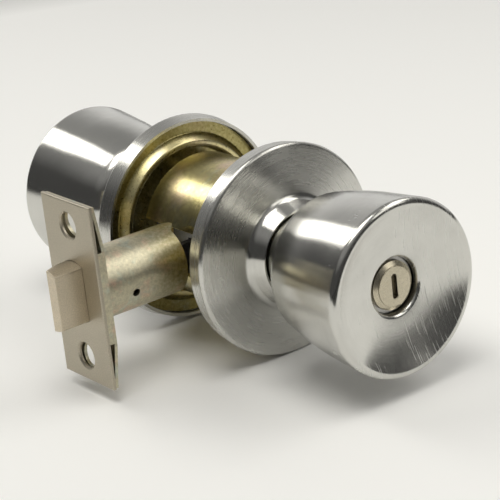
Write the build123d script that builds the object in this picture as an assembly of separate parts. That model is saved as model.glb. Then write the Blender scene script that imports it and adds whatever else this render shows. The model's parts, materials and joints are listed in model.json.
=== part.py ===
from build123d import *
import math
import os

# Privacy knob lock with a spring latch.
# The knob axis is Y with the outside knob at -Y, the latch points along -X, and +Z is up.
# The origin is where the knob axis crosses the latch axis. Sizes are in millimetres.

# Place in the door
SEAT_OUTSIDE = 19.0       # latch axis to the rim of the outside rose
SEAT_INSIDE = 22.5        # latch axis to the rim of the inside rose
BACKSET = 60.0            # knob axis to the front of the faceplate

# Motion
TURN_DEG = 60.0           # turn of a knob that draws the bolt fully back
THROW = 9.5               # how far the bolt stands out of the faceplate
BUTTON_TRAVEL = 5.0       # press of the inside button

# Clearances
RUN_GAP = 0.06            # radial running fit of a shaft in its bearing
SLIP_GAP = 0.1            # pieces that slip together and stay put
SLIDE_GAP = 0.15          # pieces that slide along each other
FREE_GAP = 0.3            # faces that pass each other without touching

# Rose, measured from its rim plane
ROSE_RIM_R = 32.2
ROSE_EDGE_R = 33.1        # corner of the wall and the face, before rounding
ROSE_EDGE_DEPTH = 6.2
ROSE_EDGE_ROUND = 1.2
ROSE_FOOT_R = 16.8        # foot of the collar, before rounding
ROSE_FOOT_DEPTH = 8.2
ROSE_FOOT_ROUND = 3.0
ROSE_COLLAR_R = 14.2      # outer radius at the open end of the collar
ROSE_COLLAR_DEPTH = 12.9
ROSE_WALL = 1.0

# Knob shell, measured from the rose's rim plane
KNOB_WALL = 1.0
SHANK_GAP = 0.4           # shank to the bore of the collar
SHANK_START = 9.5
BACK_DEPTH = 20.0         # where the shank opens into the back of the knob
BACK_ROUND = 2.0
SHOULDER_R = 21.2
SHOULDER_DEPTH = 23.4
SHOULDER_ROUND = 6.0
WAIST_R = 24.6
WAIST_DEPTH = 37.5
WAIST_ROUND = 110.0
RIM_R = 26.95             # corner of the side and the dished face, before rounding
RIM_DEPTH = 60.1
RIM_ROUND = 1.7
DISH_SAG = 1.3            # corner of the dish below the straight line from rim to lip
DISH_ROUND = 44.0         # bow of the dish
FACE_HOLE_R = 8.4
LIP_RISE = 0.5            # the lip's mouth is wider than its bore by this
LIP_DEPTH = 54.9
LIP_LENGTH = 1.9
LIP_ROUND = 1.2

# Knob insert and spindle
INSERT_START = 10.2
INSERT_END = 30.0
INSERT_FLANGE_R = 19.6
INSERT_FLANGE_DEPTH = 27.0
INSERT_FLANGE_WALL = 1.6
SPINDLE_R = 8.5
SPINDLE_WALL = 1.2
SPINDLE_END = 44.0
SPINDLE_GROOVE = 0.6
CLIP_R = 10.8
CLIP_WALL = 1.0

# Rollback cam on the inner end of each spindle
CAM_START = 3.4           # from the middle plane of the lock
CAM_END = 8.3
CAM_LEAD = 1.0            # where the flank first touches, beyond the axis
CAM_BACK_X = 8.2
CAM_BACK_Z = 10.5
FLANK_STEPS = 6

# Retractor
WEB_HALF = 2.6            # half thickness of the middle web
PAD_WALL = 2.5
PAD_TOP = 14.0
PAD_HALF = 8.4            # half length along the knob axis
JAW_FRONT = 17.0
JAW_BACK = 14.6
JAW_HALF = 7.0            # half height
WEB_REAR = 10.0
WEB_REAR_HALF = 6.2
WEB_SHOULDER_X = 6.0
RETURN_SPRING_Z = 4.5
RETURN_SPRING_R = 2.0
RETURN_SPRING_FLOOR = 4.0
RETURN_SPRING_TURNS = 5
RETURN_WIRE = 0.5

# Chassis
CHASSIS_R = 22.5
CHASSIS_WALL = 1.4
CHASSIS_INSIDE_END = 17.8
CHASSIS_IN_ROSE = 3.0     # how far the chassis reaches into the outside rose
NOTCH_HALF = 7.4          # half height of the latch cut-out
NOTCH_END = 12.0          # its closed end, towards the outside
COVER_WALL = 1.2
HUB_FACE = 8.7            # inner face of each hub
HUB_WALL = 2.5
HUB_SLEEVE_R = 12.2
HUB_SLEEVE_END = 8.0      # beyond the rose's rim plane
SLOT_FLOOR = 12.6         # depth of the latch slot in the inside hub and the cover

# Rose liner and mounting plate
LINER_WALL = 1.5
PLATE_WALL = 1.2
PLATE_RIM_DEPTH = 2.5     # flat border behind the rim plane of the inside rose
PLATE_FLOOR_DEPTH = 3.0
RING_OUTER_R = 27.4
RING_TOP_OUTER_R = 25.2
RING_TOP_INNER_R = 23.6
RING_INNER_R = 23.0
RING_TOP_DEPTH = -0.2     # the raised ring just clears the rim plane
RING_ROUND = 0.5           # at the ring's feet
RING_TOP_ROUND = 0.7

# Mounting screws
SCREW_PITCH = 16.0        # from the knob axis, above and below
SCREW_R = 2.0
SCREW_HEAD_R = 3.6
SCREW_HEAD = 2.2
SCREW_SLOT = 1.0
BOSS_R = 3.6
SCREW_REACH = 12.0        # where the screw's tip lies

# Latch
PLATE_W = 25.4
PLATE_H = 57.15
PLATE_T = 1.1
PLATE_EDGE = 0.4
SCREW_SPACING = 41.3
SCREW_HOLE_R = 4.0
SCREW_HOLE_BEVEL = 0.5
FLANGE_HALF = 14.35
FLANGE_T = 1.6
BACK_T = 1.0
BACK_FLAT_HALF = 15.0
BACK_MEET_INSET = 1.175   # the strap meets the faceplate this far from the plate's end
BACK_END_INSET = 0.3
TUBE_R = 10.65
TUBE_WALL = 0.95
TUBE_END = 27.0           # knob axis to the open end of the tube
TUBE_HOLE_R = 1.25
TUBE_HOLE_X = 46.0
TUBE_HOLE_DROP = 13.0     # degrees below the side
TONGUE_LENGTH = 2.8       # tongue on top of the tube's open end
TONGUE_FOOT_HALF = 4.0
TONGUE_TIP_HALF = 0.8

# Bolt
BOLT_FLAT_OUTSIDE = 4.6
BOLT_FLAT_INSIDE = 5.2
BOLT_REAR = 46.0
BOLT_LAND = 4.4           # width of the flat tip
TAIL_HALF_H = 3.0
TAIL_HALF_T = 1.2
TAIL_HEAD_HALF = 6.2
TAIL_HEAD_T = 2.0
TAIL_ENTRY = 6.7          # how far the tail reaches into the bolt
TAIL_PIN_R = 1.5
TAIL_PIN_IN = 4.0         # from the bolt's rear to the pin
BUSH_T = 2.4
BUSH_INSET = 0.6
LATCH_SPRING_R = 7.2
LATCH_WIRE = 0.8
LATCH_SPRING_TURNS = 6

# Release plug, in the face of the outside knob
PLUG_R = 7.3
PLUG_FACE = 54.6
PLUG_BACK = 50.0
PLUG_STEP = 0.3           # the face stands above its bevel by this
PLUG_BEVEL_W = 1.3
PLUG_BEVEL_DROP = 0.8
SLOT_LENGTH = 7.4
SLOT_WIDTH = 1.9
SLOT_DEPTH = 1.8
STEM_R = 3.0
STEM_END = 43.0
SLEEVE_FRONT = 52.4       # sunk, so that a groove runs round the plug
SLEEVE_FLOOR = 1.0
ROD_HALF_H = 2.2
ROD_HALF_T = 0.9
ROD_TIP = 14.0            # from the middle plane

# Push button, in the face of the inside knob
BUTTON_R = 5.0
BEZEL_FRONT = 54.2
BUTTON_REST = 1.4         # what still stands out when it is pressed
BUTTON_BACK = 48.0
BUTTON_ROUND = 1.4
BAR_R = 2.0
BAR_TIP = 6.0             # past the middle plane, towards the outside
BAR_BLADE_LENGTH = 2.6
BAR_BLADE_HALF_H = 2.9
BAR_BLADE_HALF_T = 0.9
GUIDE_LENGTH = 3.0
BUTTON_SPRING_SHUT = 3.0  # room for the spring when the button is pressed
BUTTON_SPRING_R = 3.6
BUTTON_WIRE = 0.5
BUTTON_SPRING_TURNS = 4

# Knob catch, in the shank of the inside knob
CATCH_DEPTH = 16.0
CATCH_R = 2.2
CATCH_SINK = 0.3          # below the surface of the shank
CATCH_FOOT_R = 2.8
CATCH_FOOT_T = 1.1
CATCH_SPRING_T = 0.4
CATCH_SPRING_HALF_W = 2.0
CATCH_SPRING_PAST = 2.6

# Sizes that follow from the ones above
ROLL_R = THROW / math.radians(TURN_DEG)       # base circle of the cam flanks
SHANK_R = ROSE_COLLAR_R - ROSE_WALL - SHANK_GAP
SPINDLE_BORE_R = SPINDLE_R - SPINDLE_WALL
CHASSIS_BORE_R = CHASSIS_R - CHASSIS_WALL
CHASSIS_OUTSIDE_END = SEAT_OUTSIDE + CHASSIS_IN_ROSE
BOSS_END = CHASSIS_INSIDE_END - COVER_WALL - FREE_GAP
BACK_MEET_HALF = PLATE_H / 2 - BACK_MEET_INSET
TUBE_BORE_R = TUBE_R - TUBE_WALL
BOLT_R = TUBE_BORE_R - SLIDE_GAP
PAD_FACE = CAM_LEAD + SLIDE_GAP
BAR_ROOM = BAR_R + FREE_GAP
BUTTON_FACE = BEZEL_FRONT + BUTTON_REST + BUTTON_TRAVEL
GUIDE_FRONT = BUTTON_BACK - BUTTON_TRAVEL - BUTTON_SPRING_SHUT
GUIDE_BACK = GUIDE_FRONT - GUIDE_LENGTH
ROSE_BORE_R = min(ROSE_RIM_R, ROSE_EDGE_R) - ROSE_WALL    # its narrower end
CATCH_FOOT_TOP = math.sqrt(SPINDLE_BORE_R ** 2 - CATCH_FOOT_R ** 2) - SLIDE_GAP


def turned(outline):
    """Solid turned about the knob axis from (radius, depth) points."""
    return revolve(make_face(Polyline(*outline, close=True)), Axis.Y)


def ring(inner_r, outer_r, start, end):
    """Plain ring about the knob axis, or a disc where the inner radius is zero."""
    return turned([(inner_r, start), (outer_r, start), (outer_r, end), (inner_r, end)])


def spun_sheet(outline, rounds, wall):
    """Sheet of even wall spun about the knob axis, with the outline as its outer skin."""
    skin = FilletPolyline(*outline, radius=rounds)
    return revolve(make_face(offset(skin, wall, side=Side.LEFT)), Axis.Y)


def block(x, y, z):
    """Box between the two limits given on each axis."""
    size = (x[1] - x[0], y[1] - y[0], z[1] - z[0])
    middle = ((x[1] + x[0]) / 2, (y[1] + y[0]) / 2, (z[1] + z[0]) / 2)
    return Pos(*middle) * Box(*size)


def rod(radius, start, end):
    """Round bar between two points."""
    line = Vector(*end) - Vector(*start)
    return Plane(origin=start, z_dir=line) * extrude(Circle(radius), line.length)


def coil(radius, wire, turns, start, end):
    """Square-wire compression spring whose ends lie at the two points."""
    axis = Vector(*end) - Vector(*start)
    along = axis.normalized()
    height = axis.length - wire
    foot = Vector(*start) + along * (wire / 2)
    helix = Helix(height / turns, height, radius - wire / 2, center=foot, direction=along)
    return sweep(Plane(origin=helix @ 0, z_dir=helix % 0) * Rectangle(wire, wire), path=helix, is_frenet=True)


def inside(part, depth=SEAT_INSIDE):
    """Move a piece from its own depth scale to the inside of the door."""
    return Pos(0, depth, 0) * part


def outside(part, depth=SEAT_OUTSIDE):
    """Move a piece from its own depth scale to the outside of the door."""
    return Rot(180, 0, 0) * (Pos(0, depth, 0) * part)


def rose():
    """Drawn cup with a coned face and a flared collar for the shank, trimmed flat at its rim."""
    flare = (ROSE_EDGE_R - ROSE_RIM_R) / ROSE_EDGE_DEPTH
    outline = [
        (ROSE_RIM_R - flare * ROSE_WALL, -ROSE_WALL),
        (ROSE_EDGE_R, ROSE_EDGE_DEPTH),
        (ROSE_FOOT_R, ROSE_FOOT_DEPTH),
        (ROSE_COLLAR_R, ROSE_COLLAR_DEPTH),
    ]
    cup = spun_sheet(outline, [ROSE_EDGE_ROUND, ROSE_FOOT_ROUND], ROSE_WALL)
    return cup - ring(0, ROSE_RIM_R + ROSE_EDGE_R, -2 * ROSE_WALL, 0)


def knob_shell():
    """Spun tulip knob: shank, rounded shoulder, bowed side, dished face with a rolled lip."""
    mouth = FACE_HOLE_R + LIP_RISE
    outline = [
        (SHANK_R, SHANK_START),
        (SHANK_R, BACK_DEPTH),
        (SHOULDER_R, SHOULDER_DEPTH),
        (WAIST_R, WAIST_DEPTH),
        (RIM_R, RIM_DEPTH),
        ((RIM_R + mouth) / 2, (RIM_DEPTH + LIP_DEPTH) / 2 - DISH_SAG),
        (mouth, LIP_DEPTH),
        (FACE_HOLE_R, LIP_DEPTH - LIP_LENGTH),
    ]
    rounds = [BACK_ROUND, SHOULDER_ROUND, WAIST_ROUND, RIM_ROUND, DISH_ROUND, LIP_ROUND]
    return spun_sheet(outline, rounds, KNOB_WALL)


def knob_insert():
    """Sleeve that fills the shank and carries the shell on the spindle, with a stiffening flange."""
    bore = SPINDLE_R + SLIP_GAP
    sleeve = ring(bore, SHANK_R - KNOB_WALL - SLIP_GAP, INSERT_START, INSERT_END)
    flange = ring(bore, INSERT_FLANGE_R, INSERT_FLANGE_DEPTH, INSERT_FLANGE_DEPTH + INSERT_FLANGE_WALL)
    return sleeve + flange


def cam_flank(turn):
    """Point of the involute flank that meets the retractor pad after the given turn."""
    reach = CAM_LEAD + ROLL_R * turn
    across = reach * math.cos(turn) - ROLL_R * math.sin(turn)
    up = reach * math.sin(turn) + ROLL_R * math.cos(turn)
    return across, up


def rollback_cam():
    """Half-moon cam plate whose involute flanks push the pads straight back at an even rate."""
    turns = [math.radians(TURN_DEG) * step / FLANK_STEPS for step in range(FLANK_STEPS + 1)]
    upper = [cam_flank(turn) for turn in turns]
    lower = [(x, -z) for x, z in upper]
    with BuildSketch(Plane.XZ) as section:
        with BuildLine():
            Spline(*upper)
            Polyline(upper[-1], (-CAM_BACK_X, CAM_BACK_Z), (-CAM_BACK_X, -CAM_BACK_Z), lower[-1])
            Spline(*lower)
            Line(lower[0], upper[0])
        make_face()
    return Pos(0, CAM_END, 0) * extrude(section.sketch, CAM_END - CAM_START)


def spindle(seat):
    """Tube that carries a knob, with its cam at the inner end and a groove for its clip."""
    end = seat + SPINDLE_END
    clip_at = seat + HUB_SLEEVE_END + SLIDE_GAP
    tube = ring(0, SPINDLE_R, CAM_START, end)
    groove = ring(SPINDLE_R - SPINDLE_GROOVE, SPINDLE_R + 1, clip_at, clip_at + CLIP_WALL)
    return tube + rollback_cam() - groove - ring(0, SPINDLE_BORE_R, 0, end + 1)


def spindle_clip(seat):
    """Open retaining ring in the spindle's groove, outside the hub's sleeve."""
    start = seat + HUB_SLEEVE_END + SLIDE_GAP
    slack = SLIP_GAP / 2
    body = ring(SPINDLE_R - SPINDLE_GROOVE + slack, CLIP_R, start + slack, start + CLIP_WALL - slack)
    return body - block((0, CLIP_R + 1), (start, start + CLIP_WALL), (-CLIP_WALL, CLIP_WALL))


def hub(seat):
    """Bearing for a spindle: a flange that fills the chassis and a long sleeve."""
    bore = SPINDLE_R + RUN_GAP
    flange = ring(bore, CHASSIS_BORE_R - SLIP_GAP, HUB_FACE, HUB_FACE + HUB_WALL)
    sleeve = ring(bore, HUB_SLEEVE_R, HUB_FACE, seat + HUB_SLEEVE_END)
    return flange + sleeve


def screw_places():
    """The two mounting screw axes, above and below the knob axis."""
    return [(0, SCREW_PITCH), (0, -SCREW_PITCH)]


def latch_slot(start, end):
    """Slot on the latch side through which the tail is slid into place."""
    return block((-CHASSIS_R - 1, -SLOT_FLOOR), (start, end), (-NOTCH_HALF, NOTCH_HALF))


def inside_hub():
    """Inside bearing with the latch slot and two tapped bosses for the mounting screws."""
    part = hub(SEAT_INSIDE) - latch_slot(HUB_FACE - 1, HUB_FACE + HUB_WALL + 1)
    for x, z in screw_places():
        part += rod(BOSS_R, (x, HUB_FACE + HUB_WALL, z), (x, BOSS_END, z))
        part -= rod(SCREW_R + SLIP_GAP, (x, SCREW_REACH - 0.5, z), (x, BOSS_END + 1, z))
    return part


def chassis_housing():
    """Drawn cylinder with a floor inside the outside rose and the latch cut-out open at the other end."""
    wall = ring(CHASSIS_BORE_R, CHASSIS_R, -CHASSIS_OUTSIDE_END, CHASSIS_INSIDE_END)
    floor = ring(HUB_SLEEVE_R + SLIP_GAP, CHASSIS_R, -CHASSIS_OUTSIDE_END, CHASSIS_WALL - CHASSIS_OUTSIDE_END)
    cut = block((-CHASSIS_R - 1, 0), (-NOTCH_END, CHASSIS_INSIDE_END + 1), (-NOTCH_HALF, NOTCH_HALF))
    return wall + floor - cut


def chassis_cover():
    """Disc that closes the chassis, slotted for the latch and drilled for the screws."""
    start = CHASSIS_INSIDE_END - COVER_WALL
    part = ring(HUB_SLEEVE_R + SLIP_GAP, CHASSIS_BORE_R - SLIP_GAP, start, CHASSIS_INSIDE_END)
    part -= latch_slot(start - 1, CHASSIS_INSIDE_END + 1)
    for x, z in screw_places():
        part -= rod(SCREW_R + SLIP_GAP, (x, start - 1, z), (x, CHASSIS_INSIDE_END + 1, z))
    return part


def rose_liner():
    """Tapped plate under the outside rose that screws along the hub's sleeve."""
    start = CHASSIS_IN_ROSE + SLIP_GAP
    return ring(HUB_SLEEVE_R + SLIP_GAP, ROSE_BORE_R - SLIP_GAP, start, start + LINER_WALL)


def mounting_plate():
    """Pressed plate under the inside rose: flat border, raised ring and a sunk floor with the holes."""
    outline = [
        (HUB_SLEEVE_R + FREE_GAP, PLATE_FLOOR_DEPTH),
        (RING_INNER_R, PLATE_FLOOR_DEPTH),
        (RING_TOP_INNER_R, RING_TOP_DEPTH),
        (RING_TOP_OUTER_R, RING_TOP_DEPTH),
        (RING_OUTER_R, PLATE_RIM_DEPTH),
        (ROSE_BORE_R - SLIP_GAP, PLATE_RIM_DEPTH),
    ]
    part = spun_sheet(outline, [RING_ROUND, RING_TOP_ROUND, RING_TOP_ROUND, RING_ROUND], PLATE_WALL)
    for x, z in screw_places():
        part -= rod(SCREW_R + SLIP_GAP, (x, -1, z), (x, PLATE_FLOOR_DEPTH + PLATE_WALL + 1, z))
    return part


def mounting_screws():
    """Two round-headed screws that draw the mounting plate towards the chassis."""
    seat = SEAT_INSIDE + PLATE_FLOOR_DEPTH + PLATE_WALL
    screws = []
    for x, z in screw_places():
        head = rod(SCREW_HEAD_R, (x, seat, z), (x, seat + SCREW_HEAD, z))
        top = head.faces().sort_by(Axis.Y)[-1]
        head = chamfer(top.edges(), SCREW_HEAD / 2)
        slot = block((x - SCREW_HEAD_R, x + SCREW_HEAD_R), (seat + SCREW_HEAD / 2, seat + SCREW_HEAD + 1),
                     (z - SCREW_SLOT / 2, z + SCREW_SLOT / 2))
        shank = rod(SCREW_R, (x, SCREW_REACH, z), (x, seat, z))
        screws.append(head + shank - slot)
    return Compound(children=screws)


def faceplate():
    """Flat plate with a bolt opening and two screw holes, softened round its front edge."""
    width = (-PLATE_W / 2, PLATE_W / 2)
    plate = block((-BACKSET, PLATE_T - BACKSET), width, (-PLATE_H / 2, PLATE_H / 2))
    plate = fillet(plate.faces().sort_by(Axis.X)[0].edges(), PLATE_EDGE)
    for z in (-SCREW_SPACING / 2, SCREW_SPACING / 2):
        plate -= rod(SCREW_HOLE_R, (-BACKSET - 1, 0, z), (PLATE_T - BACKSET + 1, 0, z))
        bevel = Cone(SCREW_HOLE_R + SCREW_HOLE_BEVEL, SCREW_HOLE_R, SCREW_HOLE_BEVEL,
                     align=(Align.CENTER, Align.CENTER, Align.MIN))
        plate -= Plane(origin=(-BACKSET, 0, z), z_dir=(1, 0, 0)) * bevel
    return plate - bolt_bar(-BACKSET - 1, PLATE_T - BACKSET + 1, SLIDE_GAP)


def bolt_bar(start, end, extra):
    """Round bar with a flat on each side, larger all round by the given gap."""
    bar = rod(BOLT_R + extra, (start, 0, 0), (end, 0, 0))
    width = (-BOLT_FLAT_OUTSIDE - extra, BOLT_FLAT_INSIDE + extra)
    return bar & block((start, end), width, (-PLATE_H, PLATE_H))


def latch_tube():
    """Rolled tube with a turned-out flange behind the faceplate, cross holes and a tongue at its open end."""
    front = PLATE_T - BACKSET
    tip = TONGUE_LENGTH - TUBE_END
    flange = block((front, front + FLANGE_T), (-PLATE_W / 2, PLATE_W / 2), (-FLANGE_HALF, FLANGE_HALF))
    tube = flange + rod(TUBE_R, (front, 0, 0), (tip, 0, 0))
    tube -= rod(TUBE_BORE_R, (front - 1, 0, 0), (tip + 1, 0, 0))
    drop = math.radians(TUBE_HOLE_DROP)
    side = Vector(0, -math.cos(drop), -math.sin(drop)) * (TUBE_R + 1)
    middle = Vector(-TUBE_HOLE_X, 0, 0)
    tube -= rod(TUBE_HOLE_R, middle - side, middle + side)
    corners = [(-TUBE_END, TONGUE_FOOT_HALF), (-TUBE_END, -TONGUE_FOOT_HALF), (tip, -TONGUE_TIP_HALF),
               (tip, TONGUE_TIP_HALF)]
    tongue = extrude(make_face(Polyline(*corners, close=True)), TUBE_R + 1)
    all_round = (-TUBE_R - 1, TUBE_R + 1)
    return tube - (block((-TUBE_END, tip + 1), all_round, all_round) - tongue)


def back_plate():
    """Strap behind the flange, bent at both ends to lie against the faceplate."""
    near = PLATE_T - BACKSET
    far = near + FLANGE_T
    end = PLATE_H / 2 - BACK_END_INSET
    bends = [(near, -end), (near, -BACK_MEET_HALF), (far, -BACK_FLAT_HALF)]
    line = Polyline(*bends, *[(x, -z) for x, z in reversed(bends)])
    section = make_face(offset(line, BACK_T, side=Side.RIGHT, kind=Kind.INTERSECTION))
    half_width = PLATE_W / 2 - BACK_END_INSET
    strap = Pos(0, half_width, 0) * extrude(Plane.XZ * section, 2 * half_width)
    strap -= rod(TUBE_R + SLIP_GAP, (near - 1, 0, 0), (far + BACK_T + 1, 0, 0))
    for z in (-SCREW_SPACING / 2, SCREW_SPACING / 2):
        strap -= rod(SCREW_HOLE_R, (near - 1, 0, z), (far + BACK_T + 1, 0, z))
    return strap


def tube_bush():
    """Disc in the open end of the tube that guides the tail and holds the latch spring."""
    end = -TUBE_END - BUSH_INSET
    disc = rod(TUBE_BORE_R - SLIP_GAP, (end - BUSH_T, 0, 0), (end, 0, 0))
    hole_t = TAIL_HALF_T + SLIDE_GAP
    hole_h = TAIL_HALF_H + SLIDE_GAP
    return disc - block((end - BUSH_T - 1, end + 1), (-hole_t, hole_t), (-hole_h, hole_h))


def latch_bolt():
    """Round bolt with two flats, bevelled on the inside, slotted at the rear for the tail."""
    tip = -BACKSET - THROW
    bolt = bolt_bar(tip, -BOLT_REAR, 0)
    land = BOLT_LAND - BOLT_FLAT_OUTSIDE
    corners = [(tip, land), (tip, BOLT_R + 1), (-BACKSET, BOLT_R + 1), (-BACKSET, BOLT_FLAT_INSIDE)]
    bevel = make_face(Polyline(*corners, close=True))
    bolt -= Pos(0, 0, -BOLT_R - 1) * extrude(bevel, 2 * BOLT_R + 2)
    slot_t = TAIL_HALF_T + SLIP_GAP
    slot_h = TAIL_HALF_H + SLIP_GAP
    bolt -= block((-BOLT_REAR - TAIL_ENTRY - SLIP_GAP, 1 - BOLT_REAR), (-slot_t, slot_t), (-slot_h, slot_h))
    return bolt - tail_pin(SLIP_GAP)


def tail_pin(extra=0.0):
    """Cross pin that ties the tail to the bolt."""
    x = -BOLT_REAR - TAIL_PIN_IN
    return rod(TAIL_PIN_R + extra, (x, -BOLT_FLAT_OUTSIDE - extra, 0), (x, BOLT_FLAT_INSIDE + extra, 0))


def latch_tail():
    """Flat bar from the bolt to a cross head behind the retractor's jaws."""
    head_front = -JAW_BACK + FREE_GAP
    thickness = (-TAIL_HALF_T, TAIL_HALF_T)
    bar = block((-BOLT_REAR - TAIL_ENTRY, head_front), thickness, (-TAIL_HALF_H, TAIL_HALF_H))
    head = block((head_front, head_front + TAIL_HEAD_T), thickness, (-TAIL_HEAD_HALF, TAIL_HEAD_HALF))
    return bar + head - tail_pin(SLIP_GAP)


def retractor():
    """Cast slide: jaws that hold the tail, two cam pads and bores for its springs."""
    half = [(-JAW_FRONT, JAW_HALF), (PAD_FACE - PAD_WALL, PAD_TOP), (WEB_SHOULDER_X, PAD_TOP - PAD_WALL),
            (WEB_REAR, WEB_REAR_HALF)]
    outline = half + [(x, -z) for x, z in reversed(half)]
    with BuildSketch(Plane.XZ) as section:
        with BuildLine():
            Polyline(*outline, close=True)
        make_face()
    part = Pos(0, WEB_HALF, 0) * extrude(section.sketch, 2 * WEB_HALF)
    pad_low = ROLL_R - FREE_GAP
    for low, high in ((pad_low, PAD_TOP), (-PAD_TOP, -pad_low)):
        part += block((PAD_FACE, PAD_FACE + PAD_WALL), (-PAD_HALF, PAD_HALF), (low, high))
    throat = TAIL_HALF_H + FREE_GAP
    head_room = TAIL_HEAD_HALF + FREE_GAP
    through = (-WEB_HALF - 1, WEB_HALF + 1)
    part -= block((-JAW_FRONT - 1, BAR_ROOM), through, (-throat, throat))
    part -= block((-JAW_BACK, -JAW_BACK + TAIL_HEAD_T + 2 * FREE_GAP), through, (-head_room, head_room))
    for z in (-RETURN_SPRING_Z, RETURN_SPRING_Z):
        part -= rod(RETURN_SPRING_R + SLIDE_GAP, (RETURN_SPRING_FLOOR, 0, z), (WEB_REAR + 1, 0, z))
    return part


def return_springs():
    """Two springs between the retractor and the chassis wall."""
    springs = []
    for z in (-RETURN_SPRING_Z, RETURN_SPRING_Z):
        reach = math.sqrt(CHASSIS_BORE_R ** 2 - (abs(z) + RETURN_SPRING_R) ** 2)
        springs.append(coil(RETURN_SPRING_R, RETURN_WIRE, RETURN_SPRING_TURNS,
                            (RETURN_SPRING_FLOOR + SLIP_GAP, 0, z), (reach - SLIP_GAP, 0, z)))
    return Compound(children=springs)


def latch_spring():
    """Spring round the tail that drives the bolt out."""
    start = -BOLT_REAR + SLIP_GAP
    end = -TUBE_END - BUSH_INSET - BUSH_T - SLIP_GAP
    return coil(LATCH_SPRING_R, LATCH_WIRE, LATCH_SPRING_TURNS, (start, 0, 0), (end, 0, 0))


def release_plug():
    """Bevelled plug with a coin slot and a stem that turns the release rod."""
    face_r = PLUG_R - PLUG_BEVEL_W
    step = PLUG_FACE - PLUG_STEP
    plug = turned([(0, STEM_END), (STEM_R, STEM_END), (STEM_R, PLUG_BACK), (PLUG_R, PLUG_BACK),
                   (PLUG_R, step - PLUG_BEVEL_DROP), (face_r, step), (face_r, PLUG_FACE), (0, PLUG_FACE)])
    slot = extrude(Plane.XZ * Rot(0, 0, 90) * SlotOverall(SLOT_LENGTH, SLOT_WIDTH), SLOT_DEPTH)
    return plug - Pos(0, PLUG_FACE, 0) * slot


def plug_sleeve():
    """Cup pressed into the lip of the face that holds the plug and bears on the spindle."""
    floor = SPINDLE_END + SLIP_GAP
    cup = ring(PLUG_R + RUN_GAP, FACE_HOLE_R - SLIP_GAP, floor, SLEEVE_FRONT)
    return cup + ring(STEM_R + RUN_GAP, FACE_HOLE_R - SLIP_GAP, floor, floor + SLEEVE_FLOOR)


def release_rod():
    """Flat rod from the plug's stem to the locking bar."""
    return block((-ROD_HALF_T, ROD_HALF_T), (ROD_TIP, SEAT_OUTSIDE + STEM_END), (-ROD_HALF_H, ROD_HALF_H))


def push_button():
    """Round button with a softened face."""
    button = ring(0, BUTTON_R, BUTTON_BACK, BUTTON_FACE)
    return fillet(button.faces().sort_by(Axis.Y)[-1].edges(), BUTTON_ROUND)


def button_bezel():
    """Ring in the lip of the face that guides the button and bears on the spindle."""
    return ring(BUTTON_R + RUN_GAP, FACE_HOLE_R - SLIP_GAP, SPINDLE_END + SLIP_GAP, BEZEL_FRONT)


def locking_bar():
    """Round bar from the button through both spindles, flattened at its tip."""
    bar = rod(BAR_R, (0, -BAR_TIP + BAR_BLADE_LENGTH, 0), (0, SEAT_INSIDE + BUTTON_BACK, 0))
    blade = block((-BAR_BLADE_HALF_T, BAR_BLADE_HALF_T), (-BAR_TIP, BAR_BLADE_LENGTH - BAR_TIP),
                  (-BAR_BLADE_HALF_H, BAR_BLADE_HALF_H))
    return bar + blade


def bar_guide():
    """Bush in the inside spindle that keeps the locking bar on its axis."""
    return ring(BAR_R + RUN_GAP, SPINDLE_BORE_R - SLIP_GAP, GUIDE_BACK, GUIDE_FRONT)


def button_spring():
    """Spring round the locking bar that pushes the button out."""
    return coil(BUTTON_SPRING_R, BUTTON_WIRE, BUTTON_SPRING_TURNS,
                (0, GUIDE_FRONT + SLIP_GAP, 0), (0, BUTTON_BACK - SLIP_GAP, 0))


def catch_hole(radius):
    """Radial hole under the shank for the knob catch."""
    return rod(radius, (0, CATCH_DEPTH, -BAR_R), (0, CATCH_DEPTH, -SHANK_R - 1))


def catch_way():
    """Slot from the catch's hole to the end of the insert, along which the knob draws off."""
    half = CATCH_R + SLIDE_GAP
    return block((-half, half), (INSERT_START - 1, CATCH_DEPTH), (-SHANK_R, -BAR_R))


def knob_catch():
    """Pin with a foot that locks the inside knob to its spindle."""
    base = (0, CATCH_DEPTH, CATCH_FOOT_T - CATCH_FOOT_TOP)
    neck = (0, CATCH_DEPTH, -CATCH_FOOT_TOP)
    tip = (0, CATCH_DEPTH, CATCH_SINK - SHANK_R)
    return rod(CATCH_R, neck, tip) + rod(CATCH_FOOT_R, base, neck)


def catch_spring():
    """Leaf from the bar guide to the foot of the catch."""
    top = CATCH_FOOT_T - CATCH_FOOT_TOP + SLIP_GAP
    length = (CATCH_DEPTH - CATCH_SPRING_PAST, GUIDE_BACK - SLIP_GAP)
    return block((-CATCH_SPRING_HALF_W, CATCH_SPRING_HALF_W), length, (top, top + CATCH_SPRING_T))


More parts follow.
